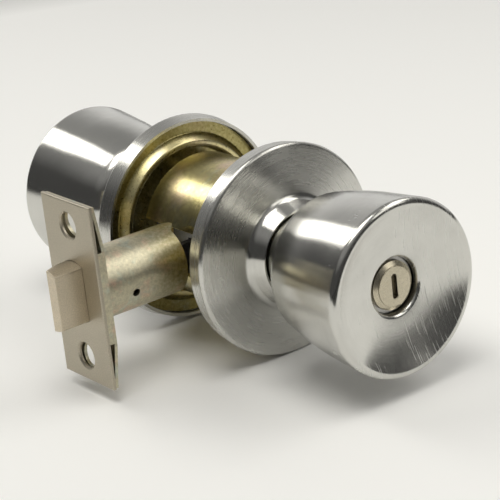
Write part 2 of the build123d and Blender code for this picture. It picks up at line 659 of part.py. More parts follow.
parts = {
    "chassis_housing": chassis_housing(),
    "chassis_cover": chassis_cover(),
    "outside_hub": outside(hub(SEAT_OUTSIDE), 0),
    "inside_hub": inside_hub(),
    "outside_rose": outside(rose()),
    "rose_liner": outside(rose_liner()),
    "inside_rose": inside(rose()),
    "mounting_plate": inside(mounting_plate()),
    "mounting_screws": mounting_screws(),
    "faceplate": faceplate(),
    "back_plate": back_plate(),
    "latch_tube": latch_tube(),
    "tube_bush": tube_bush(),
    "latch_bolt": latch_bolt(),
    "latch_tail": latch_tail(),
    "tail_pin": tail_pin(),
    "latch_spring": latch_spring(),
    "retractor": retractor(),
    "return_springs": return_springs(),
    "outside_knob_shell": outside(knob_shell()),
    "outside_knob_insert": outside(knob_insert()),
    "outside_spindle": outside(spindle(SEAT_OUTSIDE), 0),
    "outside_spindle_clip": outside(spindle_clip(SEAT_OUTSIDE), 0),
    "plug_sleeve": outside(plug_sleeve()),
    "release_plug": outside(release_plug()),
    "release_rod": outside(release_rod(), 0),
    "inside_knob_shell": inside(knob_shell() - catch_hole(CATCH_R + SLIDE_GAP)),
    "inside_knob_insert": inside(knob_insert() - catch_hole(CATCH_R + SLIDE_GAP) - catch_way()),
    "inside_spindle": spindle(SEAT_INSIDE) - inside(catch_hole(CATCH_R + RUN_GAP)),
    "inside_spindle_clip": spindle_clip(SEAT_INSIDE),
    "button_bezel": inside(button_bezel()),
    "push_button": inside(push_button()),
    "locking_bar": locking_bar(),
    "bar_guide": inside(bar_guide()),
    "button_spring": inside(button_spring()),
    "knob_catch": inside(knob_catch()),
    "catch_spring": inside(catch_spring()),
}

os.makedirs("parts", exist_ok=True)
for name, part in parts.items():
    export_step(part, f"parts/{name}.step")
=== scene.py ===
import json
import math

import bpy
import numpy as np
from bpy.props import FloatProperty, FloatVectorProperty, PointerProperty
from bpy.types import NodeSocket, Operator, Panel, PropertyGroup
from mathutils import Matrix, Vector


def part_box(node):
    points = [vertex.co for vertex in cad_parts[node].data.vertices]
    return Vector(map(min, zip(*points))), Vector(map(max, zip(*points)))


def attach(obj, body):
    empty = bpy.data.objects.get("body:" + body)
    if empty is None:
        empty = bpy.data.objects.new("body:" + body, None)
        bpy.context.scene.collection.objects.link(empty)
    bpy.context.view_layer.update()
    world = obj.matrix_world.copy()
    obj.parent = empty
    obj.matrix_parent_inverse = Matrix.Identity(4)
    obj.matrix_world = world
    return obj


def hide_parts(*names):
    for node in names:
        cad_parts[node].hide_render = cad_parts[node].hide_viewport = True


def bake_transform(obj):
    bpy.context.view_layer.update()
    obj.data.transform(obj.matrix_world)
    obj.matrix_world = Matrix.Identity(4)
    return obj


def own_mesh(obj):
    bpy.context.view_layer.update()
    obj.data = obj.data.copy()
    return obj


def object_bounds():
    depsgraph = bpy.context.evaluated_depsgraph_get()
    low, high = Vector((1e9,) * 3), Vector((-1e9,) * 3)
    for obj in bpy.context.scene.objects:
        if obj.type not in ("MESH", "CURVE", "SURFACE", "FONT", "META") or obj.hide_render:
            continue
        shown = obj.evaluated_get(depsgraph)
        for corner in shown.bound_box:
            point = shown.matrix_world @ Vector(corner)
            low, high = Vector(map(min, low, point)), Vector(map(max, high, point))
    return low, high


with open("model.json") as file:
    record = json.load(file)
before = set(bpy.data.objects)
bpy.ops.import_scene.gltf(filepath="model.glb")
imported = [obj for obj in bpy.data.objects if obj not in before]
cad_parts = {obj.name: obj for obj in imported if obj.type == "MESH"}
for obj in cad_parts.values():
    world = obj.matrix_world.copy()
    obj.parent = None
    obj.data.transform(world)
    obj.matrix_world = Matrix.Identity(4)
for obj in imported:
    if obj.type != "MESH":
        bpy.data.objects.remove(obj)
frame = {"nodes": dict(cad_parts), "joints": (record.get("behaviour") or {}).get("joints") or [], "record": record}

bl_info = {
    "name": "Privacy Knob Lock",
    "version": (1, 0, 0),
    "blender": (4, 5, 0),
    "location": "View3D > Sidebar > Knob Lock",
    "description": "Builds the spun knobs, roses, chassis and latch of a privacy knob lock with their finishes",
    "category": "Object",
}

MM = 0.001
OUTSIDE, INSIDE = -1, 1  # sides of the door along the knob axis
SHEET_STEP = 0.9 * MM  # spacing of points along the profile of a knob or rose
PLATE_STEP = 0.5 * MM  # the same for the mounting plate
SPUN_SHARP = 80.0  # edges of spun sheet that bend by more degrees look sharp
KNOB_SIDES, ROSE_SIDES, PLUG_SIDES, BUTTON_SIDES = 176, 192, 160, 96  # of the turned pieces
WIRE_STEPS = 28  # steps in one turn of a coil
WIRE_SIDES = 10  # sides of a coil's wire
BRUSH_FINENESS = 5200.0  # brush lines along a profile
SCUFF_WIDENING = 0.14  # how much coarser the scuffs lie along a profile
SCRATCH_SCALE = (3400.0, 300.0, 60.0)  # scratches across, into and along the face
TINT_SHIFT = (0.31, 0.17, 0.23)  # step between the places of two tints in their noise
GRAIN_HEIGHT = 0.03 * MM  # relief of the matt and zinc grain
LAMP_COLOUR = (1.0, 0.98, 0.92)
LIT_PLACE = Vector((0.0, -0.01, 0.0))  # where the soft boxes point
# Latch axis to the rim plane of each rose
SEAT = {OUTSIDE: -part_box("outside_rose")[1].y, INSIDE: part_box("inside_rose")[0].y}
CAD_BOX = [list(corner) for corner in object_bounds()]
SLOT_OF_NODE = {sub["node"]: sub["material_slot"] for sub in frame["record"]["subparts"]}


# Property helpers

def length(name, description, mm):
    """A size in metres whose default is written in millimetres."""
    return FloatProperty(name=name, description=description, default=mm * MM, unit="LENGTH", precision=5)


def corner(name, description, radius, depth, bend=0.0):
    """A profile corner: radius from the knob axis, depth from the rim plane of the rose, radius of its bend."""
    return FloatVectorProperty(name=name, description=description, size=3, unit="LENGTH", precision=5,
                               default=(radius * MM, depth * MM, bend * MM))


def colour(name, description, red, green, blue):
    """A surface colour in linear values."""
    return FloatVectorProperty(name=name, description=description, size=3, default=(red, green, blue),
                               subtype="COLOR", min=0.0, max=1.0)


def number(name, description, value):
    """A plain number."""
    return FloatProperty(name=name, description=description, default=value)


def angle(name, description, degrees):
    """An angle in radians whose default is written in degrees."""
    return FloatProperty(name=name, description=description, default=math.radians(degrees), subtype="ANGLE")


def triple(name, description, kind, *parts):
    """Three numbers of one kind."""
    return FloatVectorProperty(name=name, description=description, size=3, default=parts, subtype=kind)


class KnobSizes(PropertyGroup):
    """Sizes of the spun tulip knob."""
    shank: corner("Shank", "Start of the shank inside the collar", 12.8, 9.5)
    back: corner("Back", "Where the shank opens into the back", 12.8, 20.0, 2.0)
    shoulder: corner("Shoulder", "Corner between back and side", 21.2, 23.4, 6.0)
    waist: corner("Waist", "Where the side turns outwards", 24.6, 37.5, 110.0)
    rim: corner("Rim", "Corner between side and face", 26.95, 60.1, 1.7)
    dish: corner("Dish", "Corner of the dished face before its bow", 17.925, 56.2, 44.0)
    lip: corner("Lip", "Mouth of the hole in the dished face", 8.9, 54.9, 1.2)
    lip_end: corner("Lip end", "Inner end of the rolled lip", 8.4, 53.0)
    wall: length("Wall", "Thickness of the sheet", 1.0)
    catch_depth: length("Catch depth", "Rim plane to the hole of the knob catch", 16.0)
    catch_radius: length("Catch radius", "Radius of the hole for the knob catch", 2.35)


class RoseSizes(PropertyGroup):
    """Sizes of the drawn rose."""
    rim: corner("Rim", "Edge that lies on the door", 32.2, 0.0)
    edge: corner("Edge", "Corner between wall and face", 33.1, 6.2, 1.2)
    foot: corner("Foot", "Foot of the collar", 16.8, 8.2, 3.0)
    collar: corner("Collar", "Open end of the collar", 14.2, 12.9)
    wall: length("Wall", "Thickness of the sheet", 1.0)


class PlateSizes(PropertyGroup):
    """Sizes of the pressed mounting plate."""
    bore: corner("Bore", "Hole for the hub's sleeve", 12.5, 3.0)
    inner_foot: corner("Inner foot", "Inner foot of the raised ring", 23.0, 3.0, 0.5)
    inner_top: corner("Inner top", "Inner edge of the raised ring's top", 23.6, -0.2, 0.7)
    outer_top: corner("Outer top", "Outer edge of the raised ring's top", 25.2, -0.2, 0.7)
    outer_foot: corner("Outer foot", "Outer foot of the raised ring", 27.4, 2.5, 0.5)
    border: corner("Border", "Outer edge of the flat border", 31.1, 2.5)
    wall: length("Wall", "Thickness of the sheet", 1.2)
    screw_pitch: length("Screw pitch", "Knob axis to a screw hole", 16.0)
    screw_radius: length("Screw radius", "Radius of a screw hole", 2.1)


class ChassisSizes(PropertyGroup):
    """Sizes of the chassis housing."""
    radius: length("Radius", "Outer radius", 22.5)
    wall: length("Wall", "Thickness of the wall", 1.4)
    bore: length("Bore", "Hole in the floor for the hub's sleeve", 12.3)
    notch_half: length("Notch half height", "Half height of the latch cut-out", 7.4)
    notch_end: length("Notch end", "Latch axis to the closed end of the cut-out", 12.0)


class LatchSizes(PropertyGroup):
    """Sizes of the latch tube and bolt."""
    tube_radius: length("Tube radius", "Outer radius of the tube", 10.65)
    tube_wall: length("Tube wall", "Thickness of the tube", 0.95)
    hole_radius: length("Cross hole", "Radius of the cross hole", 1.25)
    hole_place: length("Cross hole place", "Knob axis to the cross hole", 46.0)
    hole_drop: angle("Cross hole drop", "Turn of the cross hole below the side", 13.0)
    tongue_length: length("Tongue length", "Length of the tongue on top of the open end", 2.8)
    tongue_foot: length("Tongue foot", "Half width of the tongue at its foot", 4.0)
    tongue_tip: length("Tongue tip", "Half width of the tongue at its tip", 0.8)
    flange: length("Flange", "Thickness of the flange behind the faceplate", 1.6)
    bolt_radius: length("Bolt radius", "Radius of the bolt's round top and bottom", 9.55)
    bolt_land: length("Bolt land", "Width of the flat tip", 4.4)
    bolt_edge: length("Bolt edge", "Softened edge of the bolt", 0.3)


class PlugSizes(PropertyGroup):
    """Sizes of the release plug and the push button."""
    step: length("Plug step", "How far the face stands above its bevel", 0.3)
    bevel_width: length("Bevel width", "Width of the bevel round the plug's face", 1.3)
    bevel_drop: length("Bevel drop", "Fall of the bevel", 0.8)
    edge: length("Plug edge", "Softened edge of the plug's face", 0.12)
    slot_length: length("Slot length", "Overall length of the coin slot", 7.4)
    slot_width: length("Slot width", "Width of the coin slot", 1.9)
    slot_depth: length("Slot depth", "Depth of the coin slot", 1.8)
    slot_round: length("Slot round", "Worn round of the slot's edge", 0.2)
    plug_back: length("Plug back", "Thickness of the plug's head", 4.6)
    stem_radius: length("Stem radius", "Radius of the plug's stem", 3.0)
    # Painted shade in the coin slot: how dark the slot's floor and its mouth are painted
    slot_floor_shade: number("Floor grime", "Grime on the floor of the slot", 0.45)
    slot_mouth_shade: number("Edge grime", "Grime at the mouth of the slot", 0.95)
    button_round: length("Button round", "Round of the button's face", 1.4)


class SpringSizes(PropertyGroup):
    """Wire and turns of the springs."""
    latch_wire: length("Latch wire", "Wire of the latch spring", 0.8)
    latch_turns: number("Latch turns", "Turns of the latch spring", 6.0)
    return_wire: length("Return wire", "Wire of the return springs", 0.5)
    return_turns: number("Return turns", "Turns of each return spring", 5.0)
    button_wire: length("Button wire", "Wire of the button's spring", 0.5)
    button_turns: number("Button turns", "Turns of the button's spring", 4.0)
    leaf_round: length("Leaf round", "Softened edge of the catch's leaf", 0.08)


class Finishes(PropertyGroup):
    """Colours of the finishes."""
    steel: colour("Satin steel", "Knobs and roses", 0.66, 0.655, 0.62)
    steel_dark: colour("Satin steel, dark", "Rubbed tone between the brush lines", 0.53, 0.525, 0.495)
    gold: colour("Zinc gold", "Main tone of the yellow zinc", 0.72, 0.62, 0.27)
    olive: colour("Zinc olive", "Darker tone of the yellow zinc", 0.46, 0.41, 0.15)
    pink: colour("Zinc pink", "Warm tint of the yellow zinc", 0.74, 0.55, 0.42)
    teal: colour("Zinc teal", "Cool tint of the yellow zinc", 0.52, 0.58, 0.50)
    zinc_grey: colour("Zinc, grey", "Bare grey under thin yellow plating", 0.58, 0.56, 0.51)
    zinc_dark: colour("Zinc, dark", "Dark olive in the shaded parts", 0.24, 0.20, 0.05)
    nickel: colour("Matt nickel", "Faceplate", 0.50, 0.455, 0.365)
    bolt: colour("Bolt nickel", "Bolt", 0.66, 0.58, 0.45)
    plug: colour("Plug nickel", "Release plug and bezel", 0.60, 0.545, 0.42)
    plain: colour("Plain steel", "Inner steel pieces", 0.46, 0.45, 0.43)
    cast: colour("Cast zinc", "Cast inner pieces", 0.42, 0.42, 0.42)
    scratch: colour("Scratch", "Bright scratches", 0.8, 0.8, 0.78)
    # Painted shade for the recess of the coin slot
    grime: colour("Grime", "Grime in the coin slot", 0.06, 0.055, 0.05)
    floor: colour("Floor", "Pale floor", 0.95, 0.95, 0.94)
    floor_far: colour("Floor, far", "Floor beyond the lit part", 0.03, 0.03, 0.03)


class StageSettings(PropertyGroup):
    """Camera and light of the studio."""
    camera_place: triple("Camera place", "Where the camera stands", "TRANSLATION", -0.35330, -0.49631, 0.21869)
    azimuth: angle("Azimuth", "Turn of the camera about the vertical", -35.76)
    elevation: angle("Elevation", "Tilt of the camera down to the lock", 20.26)
    roll: angle("Roll", "Roll of the camera", -6.51)
    lens: number("Lens", "Focal length on a 36 mm sensor", 150.18)
    floor_size: length("Floor size", "Half width of the floor", 4000.0)
    floor_lit: length("Lit floor", "Radius of the pale part of the floor", 480.0)
    floor_front: length("Floor front", "Origin to the front edge of the pale part", 205.0)
    sky_high: number("Ceiling light", "Brightness of the room overhead", 0.30)
    sky_back: number("Backdrop light", "Brightness of the room behind the lock", 0.80)
    sky_low: number("Wall light", "Brightness of the room at eye level", 0.07)
    back_way: triple("Backdrop", "Way to the bright backdrop", "DIRECTION", 0.707, 0.707, 0.0)
    key: number("Key light", "Brightness of the box behind the latch side", 2.7)
    fill: number("Fill light", "Brightness of the box in front of the other side", 1.9)
    low: number("Low light", "Brightness of the box under the fill", 1.2)
    top: number("Top light", "Brightness of the box over the floor", 3.3)


# Surfaces

def unit(vector):
    """The vector divided by its length."""
    return vector / np.linalg.norm(vector)


def unit_circle(angles):
    """Points of the unit circle at the angles."""
    return np.column_stack([np.cos(angles), np.sin(angles)])


def rounded_outline(sizes, names, step, arc_steps=14):
    """Outline through the named corners in which each inner corner is replaced by the arc that touches both of
    its runs. The arc's centre lies on the bisector at radius / sin(half angle). Runs are divided every step."""
    corners = np.array([getattr(sizes, name) for name in names])
    points, bends = corners[:, :2], corners[1:, 2]
    runs = [points[:1]]
    for before, point, after, radius in zip(points, points[1:], points[2:], bends):
        back = unit(before - point)
        ahead = unit(after - point)
        half = 0.5 * math.acos(np.clip(back @ ahead, -1, 1))
        centre = point + unit(back + ahead) * radius / math.sin(half)
        reach = radius / math.tan(half)
        spokes = np.array([point + back * reach - centre, point + ahead * reach - centre])
        angles = np.unwrap(np.arctan2(spokes[:, 1], spokes[:, 0]))
        sweep = np.linspace(angles[0], angles[1], arc_steps)
        runs.append(centre + radius * unit_circle(sweep))
    line = np.concatenate([*runs, points[-1:]])
    along = path_length(line)
    stations = np.unique(np.concatenate([along, np.arange(0.0, along[-1], step)]))
    stations = stations[np.concatenate([[True], np.diff(stations) > 0.02 * step])]
    return np.column_stack([np.interp(stations, along, line[:, 0]), np.interp(stations, along, line[:, 1])])


def path_length(outline):
    """Way along the outline at each of its points."""
    return np.concatenate([[0.0], np.cumsum(np.linalg.norm(np.diff(outline, axis=0), axis=1))])


def grid_faces(rows, columns, wrap_rows=False, wrap_columns=True):
    """Quads of a grid whose points are numbered row by row."""
    row = np.arange(rows if wrap_rows else rows - 1)[:, None]
    column = np.arange(columns if wrap_columns else columns - 1)[None]
    next_row = (row + 1) % rows
    next_column = (column + 1) % columns
    corners = [row * columns + column, row * columns + next_column,
               next_row * columns + next_column, next_row * columns + column]
    return np.stack(corners, axis=-1).reshape(-1, 4)


def around(count, start=0.0):
    """Angles that divide a full turn evenly."""
    return (np.arange(count) + start) * 2 * np.pi / count


def lathe(outline, seat, side, angles):
    """Surface of revolution about the knob axis: (radius, depth) goes to (radius cos a, place, radius sin a),
    where place is the seat plus the depth, on the given side of the door."""
    radius = outline[:, 0][:, None]
    place = side * (seat + outline[:, 1])[:, None]
    points = np.stack([radius * np.cos(angles), place + 0 * angles, radius * np.sin(angles)], axis=-1)
    return points.reshape(-1, 3), grid_faces(len(outline), len(angles))[:, ::-side]


def end_rings(rows, columns):
    """The caps that close a grid: the numbers of its first row, and of its last row the other way round."""
    first = np.arange(columns)
    return [first, ((rows - 1) * columns + first)[::-1]]


def coil(low, high, way, wire, turns):
    """Coil spring that fills the box from low to high along the axis numbered way: a ring of wire whose centre
    goes along the axis by an even pitch and round it at the coil's radius less half the wire."""
    across = [(way + 1) % 3, (way + 2) % 3]
    radius = 0.5 * (high[across[0]] - low[across[0]] - wire)
    share = np.linspace(0.0, 1.0, int(WIRE_STEPS * turns) + 1)[:, None]
    turn = 2 * np.pi * turns * share
    section = around(WIRE_SIDES)
    reach = radius + 0.5 * wire * np.cos(section)
    points = np.zeros((len(share), len(section), 3))
    points[..., way] = low[way] + 0.5 * wire * (1 + np.sin(section)) + share * (high[way] - low[way] - wire)
    for axis, swing in zip(across, (np.cos(turn), np.sin(turn))):
        points[..., axis] = 0.5 * (low[axis] + high[axis]) + reach * swing
    faces = grid_faces(len(share), len(section))[:, ::-1]
    return points.reshape(-1, 3), faces, end_rings(len(share), len(section))


def punched(points, faces, centre, radius, axes, keep=None):
    """Skin with a round hole. Points closer to the hole's axis than its radius, measured across the two given
    axes, are moved out to the hole's edge, and the faces between them are dropped."""
    across = points[:, axes] - np.array(centre)
    distance = np.linalg.norm(across, axis=1)
    inside = distance < radius
    if keep is not None:
        inside &= keep
    moved = points.copy()
    spread = radius / np.maximum(distance[inside], 1e-9)
    moved[np.ix_(np.flatnonzero(inside), axes)] = np.array(centre) + across[inside] * spread[:, None]
    return moved, faces[~inside[faces].all(axis=1)]


def brush_map(mesh, points, faces, stations):
    """UV map for a lathe surface: U is the way along the profile and V the turn about the knob axis, carried
    past a full turn on the faces that cross its start."""
    along = np.repeat(stations, len(points) // len(stations))[faces]
    turn = (np.arctan2(points[:, 2], points[:, 0]) % (2 * np.pi))[faces]
    crossing = turn.max(axis=1) - turn.min(axis=1) > np.pi
    turn = np.where(crossing[:, None] & (turn < np.pi), turn + 2 * np.pi, turn)
    layer = mesh.uv_layers.new(name="brush")
    layer.uv.foreach_set("vector", np.stack([along * 10, turn / 10], axis=-1).ravel())


def add_piece(name, points, faces, body, node, slot, sharp, caps=()):
    """Put a surface into a mesh, hang it on its body, if it has one, and let it stand for the given node."""
    used = np.unique(faces)
    lookup = np.full(len(points), -1)
    lookup[used] = np.arange(len(used))
    mesh = bpy.data.meshes.new(name)
    mesh.from_pydata(points[used].tolist(), [], [lookup[face].tolist() for face in (*faces, *caps)])
    mesh.shade_smooth()
    mesh.set_sharp_from_angle(angle=math.radians(sharp))
    mesh.materials.append(finish(slot))
    piece = bpy.data.objects.new(name, mesh)
    bpy.context.scene.collection.objects.link(piece)
    if body:
        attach(piece, body)
    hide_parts(node)
    return piece


def soften(piece, width, segments, bend):
    """Round the edges that bend by more than the given degrees."""
    bevel = piece.modifiers.new("Edge", "BEVEL")
    bevel.width = width
    bevel.segments = segments
    bevel.limit_method = "ANGLE"
    bevel.angle_limit = math.radians(bend)
    bevel.harden_normals = True


def thicken(piece, wall, edge=0.15 * MM):
    """Give a skin its wall towards the inside, and break the edges of the sheet."""
    solid = piece.modifiers.new("Wall", "SOLIDIFY")
    solid.thickness = wall
    solid.offset = -1.0
    solid.use_even_offset = True
    soften(piece, edge, 2, 50.0)


def add_spun(name, points, faces, outline, body, node, slot, wall):
    """A sheet piece that was spun from an outline, with its brush map and its wall."""
    piece = add_piece(name, points, faces, body, node, slot, SPUN_SHARP)
    brush_map(piece.data, points, faces, path_length(outline))
    thicken(piece, wall)


# Shader helpers, which take their tree from the node or output that they are given

def feed(node, socket, value):
    """Link an output to a socket, or write a plain value on it."""
    if isinstance(value, NodeSocket):
        node.id_data.links.new(value, node.inputs[socket])
    else:
        node.inputs[socket].default_value = value


def feed_named(node, **values):
    """Feed sockets by their names."""
    for socket, value in values.items():
        feed(node, socket, value)


def add_node(tree, kind, *values, **settings):
    """Add a shader node with its plain settings, and feed its first sockets in order."""
    node = tree.nodes.new("ShaderNode" + kind)
    for setting, value in settings.items():
        setattr(node, setting, value)
    for socket, value in enumerate(values):
        feed(node, socket, value)
    return node


def arithmetic(operation, first, second=0.0, clamp=False):
    """One Math node."""
    return add_node(first.id_data, "Math", first, second, operation=operation, use_clamp=clamp).outputs[0]


def plus(first, second, clamp=False):
    """Sum of two values."""
    return arithmetic("ADD", first, second, clamp)


def times(first, second):
    """Product of two values."""
    return arithmetic("MULTIPLY", first, second)


def separate(vector):
    """X, Y and Z of a vector."""
    return add_node(vector.id_data, "SeparateXYZ", vector).outputs


def noise(vector, scale, detail=2.0, roughness=0.5):
    """Value of a noise texture."""
    node = add_node(vector.id_data, "TexNoise", vector)
    feed_named(node, Scale=scale, Detail=detail, Roughness=roughness)
    return node.outputs["Fac"]


def remap(value, low, high, to_low=0.0, to_high=1.0):
    """Linear map of a value between two ranges, held at the ends."""
    return add_node(value.id_data, "MapRange", value, low, high, to_low, to_high).outputs[0]


def blend(share, first, second):
    """Mix of two colours by a share."""
    node = add_node(share.id_data, "Mix", share, data_type="RGBA")
    for socket, value in ((6, first), (7, second)):
        feed(node, socket, value if isinstance(value, NodeSocket) else (*value, 1.0))
    return node.outputs[2]


def relief(shader, height, strength, distance):
    """Bump of the given height on the shader's normal."""
    bump = add_node(shader.id_data, "Bump")
    feed_named(bump, Strength=strength, Distance=distance, Height=height)
    feed(shader, "Normal", bump.outputs[0])


def new_group(name, inputs, outputs):
    """Empty shader group with sockets of the given kinds; returns its tree, inputs and output node."""
    tree = bpy.data.node_groups.new(name, "ShaderNodeTree")
    for way, sockets in (("INPUT", inputs), ("OUTPUT", outputs)):
        for title, kind in sockets.items():
            tree.interface.new_socket(title, in_out=way, socket_type="NodeSocket" + kind)
    return tree, tree.nodes.new("NodeGroupInput").outputs, tree.nodes.new("NodeGroupOutput")


def brush_group():
    """Brush lines that run round the knob axis: noise on (cos a, radius - place, sin a) with a far finer step
    along the profile than round it. Also wider scuffs, clouds where the satin is rubbed, and the radius."""
    tree, given, result = new_group("Lathe brush", {"Vector": "Vector", "Fineness": "Float"},
                                    dict.fromkeys(("Lines", "Scuff", "Rubbed", "Radius"), "Float"))
    across, along, up = separate(given["Vector"])
    radius = arithmetic("SQRT", plus(times(across, across), times(up, up)))
    radius = arithmetic("MAXIMUM", radius, 1e-5)
    profile = times(arithmetic("SUBTRACT", radius, along), given["Fineness"])
    wound = add_node(tree, "CombineXYZ", arithmetic("DIVIDE", across, radius), profile,
                     arithmetic("DIVIDE", up, radius)).outputs[0]
    coarse = noise(wound, 2.2, 3.0, 0.65)
    fine = noise(wound, 9.0, 2.0, 0.6)
    wide = add_node(tree, "VectorMath", wound, (1.0, SCUFF_WIDENING, 1.0), operation="MULTIPLY").outputs[0]
    scuff = noise(wide, 2.4, 2.0, 0.6)
    cloud = noise(given["Vector"], 95.0, 4.0, 0.6)
    feed_named(result, Lines=times(plus(coarse, fine), 0.5),
               Scuff=remap(scuff, 0.3, 0.7), Rubbed=remap(cloud, 0.38, 0.66), Radius=radius)


def scratch_group():
    """Straight scratches: the highest part of a noise that is stretched along the given vector's Z, kept to
    patches that grow with the spread."""
    tree, given, result = new_group("Scratches", {"Vector": "Vector", "Amount": "Float", "Spread": "Float"},
                                    {"Mask": "Float"})
    stretched = add_node(tree, "VectorMath", given["Vector"], SCRATCH_SCALE, operation="MULTIPLY").outputs[0]
    lines = noise(stretched, 1.0, 1.0, 0.4)
    patches = plus(noise(given["Vector"], 120.0), given["Spread"])
    sparse = times(remap(lines, 0.58, 0.68), remap(patches, 0.42, 0.66))
    feed_named(result, Mask=times(sparse, given["Amount"]))


def tint_group():
    """Rainbow tints of yellow zinc: three noises share out gold, olive, pink and teal, over a fine grain."""
    spreads = {"Olive": (0.40, 0.72), "Pink": (0.52, 0.74), "Teal": (0.55, 0.76)}
    tree, given, result = new_group(
        "Zinc tint", {"Vector": "Vector", "Size": "Float", "Strength": "Float", "Gold": "Color"}
        | dict.fromkeys(spreads, "Color"), {"Color": "Color", "Grain": "Float"})
    shade = given["Gold"]
    for shift, (tint, spread) in enumerate(spreads.items()):
        offset = [shift * part for part in TINT_SHIFT]
        moved = add_node(tree, "VectorMath", given["Vector"], offset, operation="ADD")
        patch = noise(moved.outputs[0], given["Size"], 3.0, 0.62)
        shade = blend(times(remap(patch, *spread), given["Strength"]), shade, given[tint])
    grain = noise(given["Vector"], 1000.0, 3.0, 0.7)
    speckle = add_node(tree, "HueSaturation")
    feed_named(speckle, Color=shade, Value=remap(grain, 0.3, 0.7, 0.78, 1.12))
    feed_named(result, Color=speckle.outputs[0], Grain=grain)


def grain_group():
    """Fine matt grain with soft stains: one noise at the size of the grain and one much larger."""
    given, result = new_group("Matt grain", {"Vector": "Vector", "Size": "Float"},
                              {"Grain": "Float", "Stain": "Float"})[1:]
    stain = noise(given["Vector"], 160.0, 4.0, 0.6)
    feed_named(result, Grain=noise(given["Vector"], given["Size"], 3.0, 0.65), Stain=remap(stain, 0.35, 0.70))


def effect(tree, name, **values):
    """Place a shared group in a material with its own values."""
    node = add_node(tree, "Group", label=name, node_tree=bpy.data.node_groups[name])
    feed_named(node, **values)
    return node.outputs


def new_surface(name, roughness, metallic=1.0):
    """Material with a bare shader; returns its tree, its shader and the Object coordinates."""
    material = bpy.data.materials.new(name)
    material.use_nodes = True
    tree = material.node_tree
    shader = tree.nodes["Principled BSDF"]
    feed_named(shader, Metallic=metallic, Roughness=roughness)
    return tree, shader, add_node(tree, "TexCoord").outputs["Object"]


def finish(name):
    """Material of a finish by the name of its slot."""
    return bpy.data.materials[name + "_finish"]


def satin_steel(name, finishes, roughness, neck, scuffing, lean, wear):
    """Stainless steel brushed round the knob axis, smoother by the given step at its neck, with rubbed clouds,
    and with leaning scratches on the face of the outside knob, most of them towards +X."""
    tree, shader, place = new_surface(name + "_finish", roughness)
    brush = effect(tree, "Lathe brush", Vector=place, Fineness=BRUSH_FINENESS)
    leaning = add_node(tree, "Mapping", place)
    feed(leaning, "Rotation", (0.0, math.radians(lean), 0.0))
    parts = separate(place)
    worn = plus(remap(parts["X"], -4 * MM, 14 * MM, -0.03, 0.25),
                remap(parts["Y"], -66 * MM, -71 * MM, -0.6, 0.0))
    scratch = effect(tree, "Scratches", Vector=leaning.outputs[0], Amount=wear, Spread=worn)["Mask"]
    lines = remap(brush["Lines"], 0.35, 0.65)
    scuff = times(brush["Scuff"], scuffing)
    rubbed = plus(times(brush["Rubbed"], 0.3), times(scuff, 0.4))
    share = plus(times(lines, 0.25), rubbed, clamp=True)
    tone = blend(share, finishes.steel, finishes.steel_dark)
    rough = plus(remap(brush["Rubbed"], 0.0, 1.0, roughness - 0.02, roughness + 0.02), times(scuff, 0.07))
    rough = arithmetic("SUBTRACT", rough, remap(brush["Radius"], 17 * MM, 21 * MM, neck, 0.0))
    feed(shader, "Base Color", blend(times(scratch, 0.6), tone, finishes.scratch))
    feed_named(shader, Roughness=plus(rough, times(scratch, 0.3)), Anisotropic=0.85,
               Tangent=add_node(tree, "Tangent", direction_type="UV_MAP", uv_map="brush").outputs[0])
    relief(shader, plus(brush["Lines"], times(scuff, 1.2)), 0.15, 0.04 * MM)


def zinc(name, finishes, strength, size, roughness, paleness, shade, axis, start, end):
    """Yellow zinc plating with rainbow tints and a grainy sheen. Paleness draws its gold and olive towards grey
    steel, and shade is painted shade: a speckled dark olive that grows from start to end along an axis."""
    tree, shader, place = new_surface(name + "_finish", roughness)
    gold, olive = ([channel + paleness * (grey - channel) for channel, grey in zip(tone, finishes.zinc_grey)]
                   for tone in (finishes.gold, finishes.olive))
    tint = effect(tree, "Zinc tint", Vector=place, Size=size, Strength=strength, Gold=(*gold, 1.0),
                  Olive=(*olive, 1.0), Pink=(*finishes.pink, 1.0), Teal=(*finishes.teal, 1.0))
    # Painted shade: dark olive, speckled by the grain, grows from start to end along the axis
    dark = times(remap(separate(place)[axis], start, end, 0.0, shade), remap(tint["Grain"], 0.35, 0.65, 1.0, 0.6))
    feed(shader, "Base Color", blend(dark, tint["Color"], finishes.zinc_dark))
    feed(shader, "Roughness", remap(tint["Grain"], 0.3, 0.7, roughness - 0.01, roughness + 0.01))
    relief(shader, tint["Grain"], 0.004, GRAIN_HEIGHT)


def matt(name, tone, slot_shade_tone, roughness, grain_size, grain_depth):
    """Matt plating or casting with a fine grain, soft darker stains, and painted shade where the piece says so."""
    tree, shader, place = new_surface(name + "_finish", roughness)
    grain = effect(tree, "Matt grain", Vector=place, Size=grain_size)
    dark = tuple(channel * 0.78 for channel in tone)
    light = tuple(min(channel * 1.12, 1.0) for channel in tone)
    base = blend(remap(grain["Grain"], 0.3, 0.7), dark, light)
    stained = blend(times(grain["Stain"], 0.25), base, dark)
    # Painted shade: a point attribute paints the recess of the coin slot dark
    grime = add_node(tree, "Attribute", attribute_name="grime").outputs["Fac"]
    feed(shader, "Base Color", blend(grime, stained, slot_shade_tone))
    feed(shader, "Roughness", remap(grain["Grain"], 0.3, 0.7, roughness - 0.06, roughness + 0.06))
    relief(shader, grain["Grain"], grain_depth, GRAIN_HEIGHT)


# Operators

